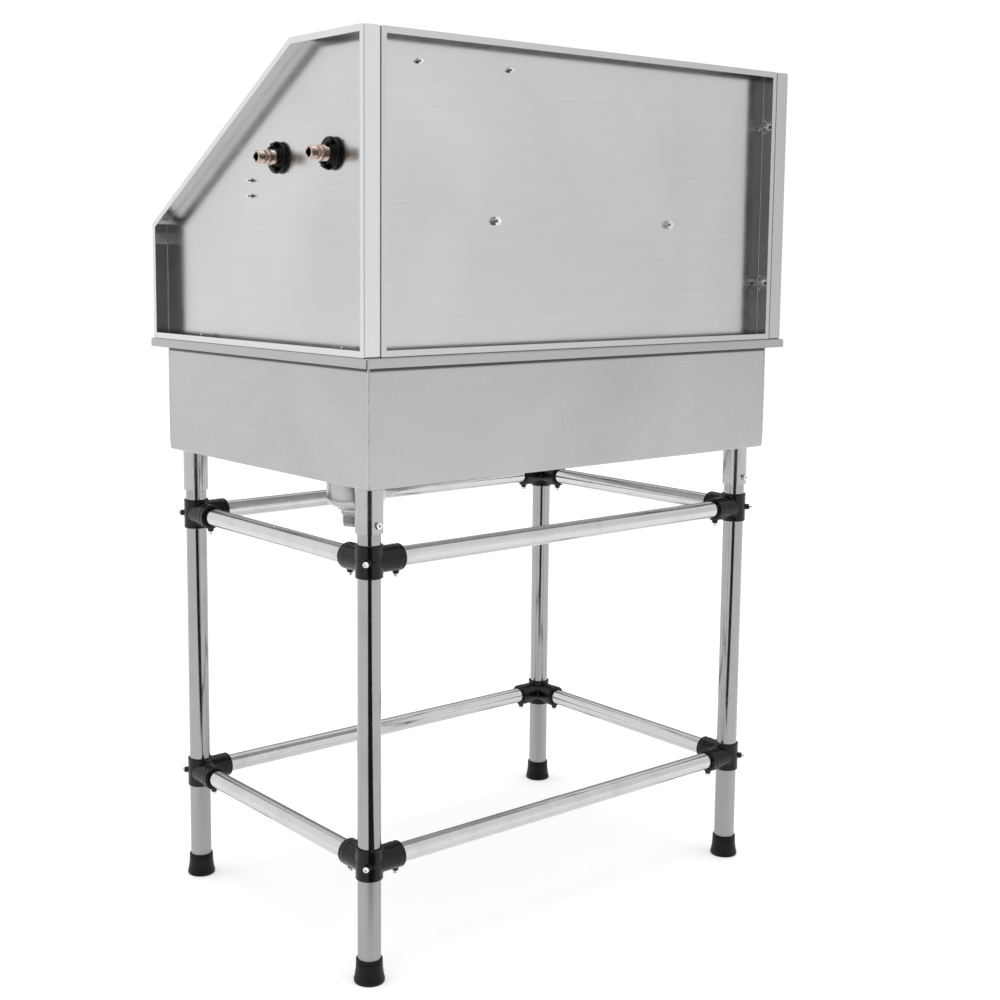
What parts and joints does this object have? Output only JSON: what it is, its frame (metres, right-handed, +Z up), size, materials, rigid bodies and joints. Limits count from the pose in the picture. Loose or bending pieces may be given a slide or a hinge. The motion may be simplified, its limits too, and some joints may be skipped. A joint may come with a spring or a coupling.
{
  "type": "pet bathtub",
  "caption": "Raised stainless steel dog-washing tub with three splash panels, a two-handle wall faucet, a basket-strainer drain and a tube stand with rubber feet.",
  "frame": {"origin": "on the floor, in the middle of the four legs", "axes": "+Z up, +Y towards the tall back panel, so the open front faces -Y, and +X towards the panel with the faucet"},
  "size_m": [0.9775, 0.68, 1.5045],
  "materials": {
    "basin_steel": "satin stainless steel sheet",
    "panel_steel": "satin stainless steel sheet",
    "tube_steel": "polished stainless steel tube",
    "joint_plastic": "satin black moulded plastic",
    "foot_rubber": "matt black rubber",
    "zinc_screws": "bright stainless fasteners",
    "drain_steel": "pressed stainless steel",
    "drain_plastic": "black moulded plastic",
    "seal_rubber": "matt black rubber",
    "strainer_steel": "pressed stainless steel",
    "faucet_chrome": "polished chrome plate",
    "inlet_brass": "bare brass, lightly dulled",
    "nut_plastic": "glossy black plastic",
    "holder_plastic": "black moulded plastic",
    "rack_steel": "satin stainless steel sheet"
  },
  "bodies": {
    "tub": {"basin": "basin_steel", "back_splash_panel": "panel_steel", "left_splash_panel": "panel_steel", "right_splash_panel": "panel_steel", "leg_front_left": "tube_steel", "leg_front_right": "tube_steel", "leg_back_right": "tube_steel", "leg_back_left": "tube_steel", "leg_socket_front_left": "tube_steel", "leg_socket_front_right": "tube_steel", "leg_socket_back_right": "tube_steel", "leg_socket_back_left": "tube_steel", "upper_rail_front": "tube_steel", "upper_rail_back": "tube_steel", "upper_rail_left": "tube_steel", "upper_rail_right": "tube_steel", "lower_rail_front": "tube_steel", "lower_rail_back": "tube_steel", "lower_rail_left": "tube_steel", "lower_rail_right": "tube_steel", "upper_connector_front_left": "joint_plastic", "upper_connector_front_right": "joint_plastic", "upper_connector_back_right": "joint_plastic", "upper_connector_back_left": "joint_plastic", "lower_connector_front_left": "joint_plastic", "lower_connector_front_right": "joint_plastic", "lower_connector_back_right": "joint_plastic", "lower_connector_back_left": "joint_plastic", "foot_front_left": "foot_rubber", "foot_front_right": "foot_rubber", "foot_back_right": "foot_rubber", "foot_back_left": "foot_rubber", "rim_bolts": "zinc_screws", "corner_bolts": "zinc_screws", "wing_nuts": "zinc_screws", "socket_bolts": "zinc_screws", "connector_screws": "zinc_screws", "hex_nuts": "zinc_screws", "panel_screws": "zinc_screws", "tether_nuts": "zinc_screws", "tether_eyes": "zinc_screws", "drain_cup": "drain_steel", "drain_outlet": "drain_steel", "drain_locknut": "drain_plastic", "drain_gasket": "seal_rubber", "inlet_washers": "seal_rubber", "faucet_body": "faucet_chrome", "valve_bonnets": "faucet_chrome", "inlet_escutcheons": "faucet_chrome", "hose_outlet": "faucet_chrome", "hot_inlet_shank": "inlet_brass", "cold_inlet_shank": "inlet_brass", "inlet_nuts": "nut_plastic", "sprayer_holder": "holder_plastic", "soap_rack": "rack_steel"},
    "hot_valve": {"hot_spindle": "faucet_chrome", "hot_handle": "faucet_chrome"},
    "cold_valve": {"cold_spindle": "faucet_chrome", "cold_handle": "faucet_chrome"},
    "strainer": {"strainer_basket": "strainer_steel"}
  },
  "joints": [
    {"name": "hot_handle_turn", "type": "hinge", "parent": "tub", "child": "hot_valve", "pos_m": [0.366, 0.2062, 1.3245], "axis": [1, 0, 0], "range_deg": [-90, 0]},
    {"name": "cold_handle_turn", "type": "hinge", "parent": "tub", "child": "cold_valve", "pos_m": [0.366, 0.0538, 1.3245], "axis": [1, 0, 0], "range_deg": [0, 90]},
    {"name": "strainer_lift", "type": "slide", "parent": "tub", "child": "strainer", "axis": [0, 0, 1], "range_m": [0, 0.08]}
  ]
}
